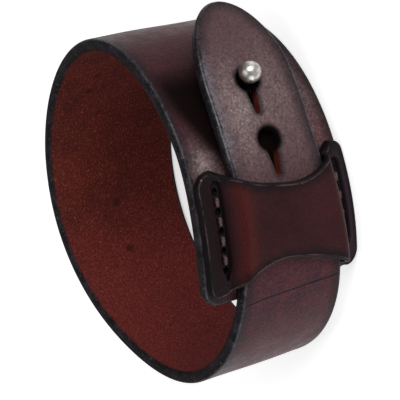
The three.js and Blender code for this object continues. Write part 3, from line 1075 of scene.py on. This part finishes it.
class LeatherPaint(Paint):
    def __init__(self, name, look):
        super().__init__(name, look)
        self.set(Specular_IOR_Level=look["specular"])
        rest = self.rest = self.attribute("rest", "Vector")
        self.along, self.across, depth = self.node("SeparateXYZ", {"Vector": rest}).outputs
        self.rim, self.slot = self.attribute("rim"), self.attribute("slot")
        self.spots = self.cells(rest, surface["spotScale"])
        for name, settings in noises.items():
            stretch = surface["stretched"].get(name)
            setattr(self, name, self.noise(self.stretched(rest, stretch) if stretch else rest, *settings))
        half, wander = look["half"], look["rimWander"]
        wander = self.maths("MULTIPLY_ADD", self.mottle, 2 * wander, -wander)
        burntRim = self.maths("MULTIPLY_ADD", wander, look["burntWander"], self.rim)
        self.wobbledRim = self.maths("ADD", self.rim, wander)
        self.burnt = self.ranged(burntRim, *spans["burnt"])
        self.inside = self.ranged(depth, *(-half * share for share in look["fleshFrom"]))
        self.outside = self.maths("SUBTRACT", 1.0, self.inside)
        walls = (half * share for share in look["wallTo"])
        between = self.ranged(self.maths("ABSOLUTE", depth), *walls, 1, 0)
        self.wall = self.product(self.mask("slot", "holeWall"), between)

    def mask(self, field, span):
        return self.ranged(getattr(self, field), *spans[span])

    def layered(self, colour, name):
        for field, low, high, start, end, tone in layers[name]:
            colour = self.mixed(self.ranged(getattr(self, field), low, high, start, end), colour, tone)
        return colour

    def dyed(self):
        return self.layered(self.mixed(self.mask("cloud", "light"), "dark", "light"), "dye")

    def shaded(self, grain, clear=1.0):
        # dark in the pores, along the rim and round the holes
        shade = self.product(self.ranged(self.wobbledRim, *self.look["shadeSpan"]), clear)
        return self.layered(self.mixed(shade, self.layered(grain, "pores"), "edge"), "holes")

    def backed(self, grain):
        # the flesh side has loose fibres and a few stains, and the edge is burnished, with small raw nicks
        clouds = self.mixed(self.mask("cloud", "fleshClouds"), "flesh", "fleshDark")
        flesh = self.layered(self.mixed(self.mask("stains", "fleshStains"), "flesh", clouds), "flesh")
        nicks = self.product(self.mask("nicks", "nicks"), self.mask("nickPlaces", "nickPlaces"))
        edge = self.mixed(nicks, self.layered("edge", "edge"), "nick")
        return self.mixed(self.burnt, self.mixed(self.inside, grain, flesh), edge)

    def bevelled(self, colour, line="rimHighlight", least=0.0):
        # a painted highlight line along the bevel, where its rounding catches the light
        strength = self.ranged(self.breaks, *spans["breaks"], *self.look["rimHighlightStrength"])
        highlightBand = self.ridge(self.rim, *self.look["rimHighlightAt"])
        share = self.product(highlightBand, self.outside, self.maths("MAXIMUM", strength, least))
        return self.mixed(share, colour, line)

    def gloss(self):
        return self.ranged(self.mottle, *spans["gloss"], *self.look["gloss"])

    def roughened(self, rough):
        for share, part in ((self.inside, "flesh"), (self.burnt, "edge"), (self.wall, "wall")):
            rough = self.mixedValue(share, rough, self.look["roughness"][part])
        return rough

    def height(self, side):
        result = 0.0
        for name, share in surface[side].items():
            result = self.maths("MULTIPLY_ADD", getattr(self, name), share, result)
        return result

    def relief(self):
        drift = self.node("TexNoise", {"Vector": self.rest, "Scale": surface["driftScale"]}).outputs["Color"]
        inputs = {0: drift, 1: (surface["drift"],) * 3, 2: self.rest}
        warped = self.node("VectorMath", inputs, operation="MULTIPLY_ADD").outputs[0]
        self.pebbles = self.cells(warped, *surface["pebbles"])
        height = self.mixedValue(self.inside, self.height("grain"), self.height("flesh"))
        normal = self.bumped(height, self.look["grainDepth"])
        return self.bumped(self.product(self.burnt, self.mottle), surface["edgeDepth"], normal)


# where the painted highlight lies along the tongue's edge
def edgeHighlightPart(paint):
    start, end, heights = strapLook["edgeHighlight"]
    lengthwise = paint.product(paint.ranged(paint.along, *start), paint.ranged(paint.along, *end, 1, 0))
    return paint.product(lengthwise, paint.ranged(paint.across, *heights))


def creaseLine(paint, crease):
    half, width, wander = crease["half"], crease["width"], crease["wander"]
    wander = paint.maths("MULTIPLY_ADD", paint.cloud, 2 * wander, -wander)
    line = paint.maths("MULTIPLY_ADD", paint.across, crease["slant"], crease["place"])
    off = paint.maths("ADD", paint.maths("SUBTRACT", paint.along, line), wander)
    short = paint.ranged(paint.maths("ABSOLUTE", paint.across), 0.75 * half, half, 1, 0)
    near = paint.ranged(paint.maths("ABSOLUTE", off), 0.3 * width, 1.6 * width, 1, 0)
    return paint.product(near, short)


def strapMaterial():
    look = strapLook
    paint = LeatherPaint("strapLeather", look)
    paintedHighlight, paintedShade = paint.attribute("paintedHighlight"), paint.attribute("paintedShade")
    edgeHighlight, crease = edgeHighlightPart(paint), creaseLine(paint, look["crease"])
    # the tongue's paler tone, partly painted sheen
    grain = paint.layered(paint.dyed(), "tongue")
    # painted highlights, broken up by the mottle, and pale specks that glint more inside them
    grain = paint.mixed(paint.product(paintedHighlight, paint.mask("mottle", "highlightBreakup")), grain, "paintedHighlight")
    palenessAndSparkle = paint.maths("MULTIPLY_ADD", paintedHighlight, *look["palenessAndSparkle"])
    grain = paint.mixed(paint.product(paint.mask("pores", "pale"), palenessAndSparkle), grain, "speck")
    # the painted highlight along the tongue's edge clears the dark along the rim
    grain = paint.shaded(grain, paint.maths("MULTIPLY_ADD", edgeHighlight, -look["edgeHighlightClears"], 1.0))
    # painted shade in the crease
    grain = paint.mixed(paint.product(crease, look["crease"]["dark"]), grain, "edge")
    # painted shade is mixed in beside the tongue and round the keyholes
    colour = paint.backed(paint.mixed(paintedShade, grain, "paintedShade"))
    # painted sheen, and a brighter painted highlight line, along the tongue's edge
    flecked = paint.product(edgeHighlight, paint.mask("pores", "flecks"))
    sheen = paint.product(paint.ridge(paint.wobbledRim, *look["sheenAt"]), flecked, paint.outside)
    colour = paint.mixed(paint.product(sheen, look["sheenStrength"]), colour, "edgeHighlightSheen")
    line = paint.mixed(edgeHighlight, "rimHighlight", "edgeHighlightRim")
    colour = paint.bevelled(colour, line, paint.product(flecked, look["edgeHighlightLine"]))
    # the hole walls take the painted shade too, and it roughens the surface below
    colour = paint.mixed(paint.wall, colour, paint.mixed(paintedShade, paint.layered("raw", "wall"), "paintedShade"))
    rough = paint.roughened(paint.mixedValue(paintedShade, paint.gloss(), look["paintedShadeRoughness"]))
    normal = paint.bumped(paint.product(crease, -1.0), surface["creaseDepth"], paint.relief())
    return paint.finished(Base_Color=colour, Roughness=rough, Normal=normal)


def keeperMaterial():
    paint = LeatherPaint("keeperLeather", keeperLook)
    off = paint.maths("SUBTRACT", paint.across, keeperLook["crestMiddle"])
    paint.fromCrest = paint.maths("ABSOLUTE", off)
    grain = paint.shaded(paint.layered(paint.dyed(), "keeper"))
    # the stitch groove is painted near black, as shade in it
    colour = paint.bevelled(paint.backed(paint.mixed(paint.attribute("groove"), grain, "groove")))
    colour = paint.mixed(paint.wall, colour, paint.layered("raw", "wall"))
    return paint.finished(Base_Color=colour, Roughness=paint.roughened(paint.gloss()), Normal=paint.relief())


# Thread and metal

threadLook = {
    "dark": (0.012, 0.004, 0.006),
    "light": (0.047, 0.018, 0.022),
    # painted shade at the thread's ends, where it goes into its holes
    "end": (0.003, 0.0015, 0.002),
    "fibres": (5200, 3, 0.7),
    "fibreSpan": (0.35, 0.7),
    "wax": (700, 3),
    "waxSpan": (0.4, 0.65, 0, 0.4),
    "holeShadeSpan": (0.35, 0.62),
    "roughness": (0.3, 0.7, 0.4, 0.62),
    "relief": 0.04,
}


def threadMaterial():
    look = threadLook
    paint = Paint("waxedThread", look)
    place = paint.ownPlace()
    fibres, wax = paint.noise(place, *look["fibres"]), paint.noise(place, *look["wax"])
    colour = paint.mixed(paint.ranged(fibres, *look["fibreSpan"]), "dark", "light")
    colour = paint.mixed(paint.ranged(wax, *look["waxSpan"]), colour, "light")
    # painted shade where the thread dives into the holes
    colour = paint.mixed(paint.ranged(paint.attribute("end"), *look["holeShadeSpan"]), colour, "end")
    rough = paint.ranged(wax, *look["roughness"])
    return paint.finished(Base_Color=colour, Roughness=rough, Normal=paint.bumped(fibres, look["relief"]))


nickelLook = {
    "bright": (0.56, 0.54, 0.5),
    "tarnish": (0.17, 0.155, 0.14),
    # painted shade on the neck below the ball
    "neckShade": (0.012, 0.008, 0.008),
    "clouds": (650, 4, 0.6),
    "tarnishSpan": (0.42, 0.66, 0, 0.8),
    "pitScale": 900,
    "pitSpan": (0.12, 0.3),
    "scratches": (1500, 3, 0.6),
    "scratchStretch": (1, 1, 7),
    "roughness": (0.3, 0.7, 0.26, 0.42),
    # depths in millimetres
    "pitDepth": 0.03,
    "scratchDepth": 0.012,
    "cloudDepth": 0.05,
}


def nickelMaterial():
    look = nickelLook
    paint = Paint("agedNickel", look)
    paint.set(Metallic=1.0)
    place = paint.ownPlace()
    clouds = paint.noise(place, *look["clouds"])
    pits = paint.ranged(paint.cells(place, look["pitScale"]), *look["pitSpan"])
    scratches = paint.noise(paint.stretched(place, look["scratchStretch"]), *look["scratches"])
    colour = paint.mixed(paint.ranged(clouds, *look["tarnishSpan"]), "bright", "tarnish")
    # painted shade below the ball
    colour = paint.mixed(paint.attribute("neckShade"), paint.mixed(pits, "tarnish", colour), "neckShade")
    normal = None
    for height, depth in ((pits, "pitDepth"), (scratches, "scratchDepth"), (clouds, "cloudDepth")):
        normal = paint.bumped(height, look[depth], normal)
    rough = paint.ranged(clouds, *look["roughness"])
    return paint.finished(Base_Color=colour, Roughness=rough, Normal=normal)


# Camera, at the photograph's angle: it is rolled, because the cuff lies on its rim here

view = {
    "distance": 246.205,
    "elevation": 26.997,
    "roll": -104.758,
    "lens": 105.562,
    "target": (-1.170, 0.0, 13.019),
}


target = Vector(view["target"]) + Vector((*loop["centre"], 0))


def setCamera():
    rise, roll = math.radians(view["elevation"]), math.radians(view["roll"])
    back = Vector((0, -math.cos(rise), math.sin(rise)))
    level, upright = Vector((1, 0, 0)), Vector((0, math.sin(rise), math.cos(rise)))
    right = level * math.cos(roll) + upright * math.sin(roll)
    up = upright * math.cos(roll) - level * math.sin(roll)
    data = bpy.data.cameras.new("camera")
    data.lens = view["lens"]
    data.clip_start = 0.01
    camera = link(bpy.data.objects.new("camera", data))
    turn = Matrix((right, up, back)).transposed().to_4x4()
    camera.matrix_world = Matrix.Translation((target + back * view["distance"]) * mm) @ turn
    bpy.context.scene.camera = camera


studio = {
    "floor": (0.9, 0.9, 0.9),
    "floorShade": (0.8865, 0.8865, 0.8865),
    "floorClouds": (4, 2),
    "floorRoughness": 0.6,
    "floorGlow": 0.55,
    "floorSize": 6.0,
    "sky": 0.22,
    # place and size in metres, watts
    "lights": {
        "overhead": ((0.0, -0.1, 0.8), 0.8, 1.6),
        "key": ((0.35, -0.6, 0.25), 0.4, 4.0),
        "lowEnd": ((-0.5, -0.2, 0.1), 0.3, 1.9),
    },
}


def setStudio():
    deselectAll()
    bpy.ops.mesh.primitive_plane_add(size=studio["floorSize"])
    floor = named("floor")
    paint = Paint("paleFloor", studio)
    paint.set(Roughness=studio["floorRoughness"], Emission_Color=(1, 1, 1, 1))
    paint.set(Emission_Strength=studio["floorGlow"])
    tone = paint.mixed(paint.noise(paint.ownPlace(), *studio["floorClouds"]), "floor", "floorShade")
    floor.data.materials.append(paint.finished(Base_Color=tone))
    for name, (place, size, watts) in studio["lights"].items():
        data = bpy.data.lights.new(name, "AREA")
        data.shape, data.size, data.energy = "DISK", size, watts
        light = link(bpy.data.objects.new(name, data))
        light.location = place
        light.rotation_euler = (light.location - target * mm).to_track_quat("Z", "Y").to_euler()
    world = bpy.data.worlds.new("studio")
    world.use_nodes = True
    background = world.node_tree.nodes["Background"].inputs
    background["Color"].default_value = (1, 1, 1, 1)
    background["Strength"].default_value = studio["sky"]
    bpy.context.scene.world = world
    bpy.context.scene.view_settings.view_transform = "Standard"


setCamera()
setStudio()
print("scene: camera and studio set")

band = makeBand()
band.data.materials.clear()
band.data.materials.append(strapMaterial())
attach(band, "root")
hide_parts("band")
print("scene: band made,", len(band.data.polygons), "faces")

strapKeeper = makeKeeper()
strapKeeper.data.materials.clear()
strapKeeper.data.materials.append(keeperMaterial())
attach(strapKeeper, "root")
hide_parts("keeper")
print("scene: keeper made,", len(strapKeeper.data.polygons), "faces")

ballStud = makeStud()
ballStud.data.materials.append(nickelMaterial())
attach(ballStud, "root")
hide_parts("ball_stud")

stitches = makeStitches()
stitches.data.materials.append(threadMaterial())
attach(stitches, "root")
print("scene: stud and stitches made")
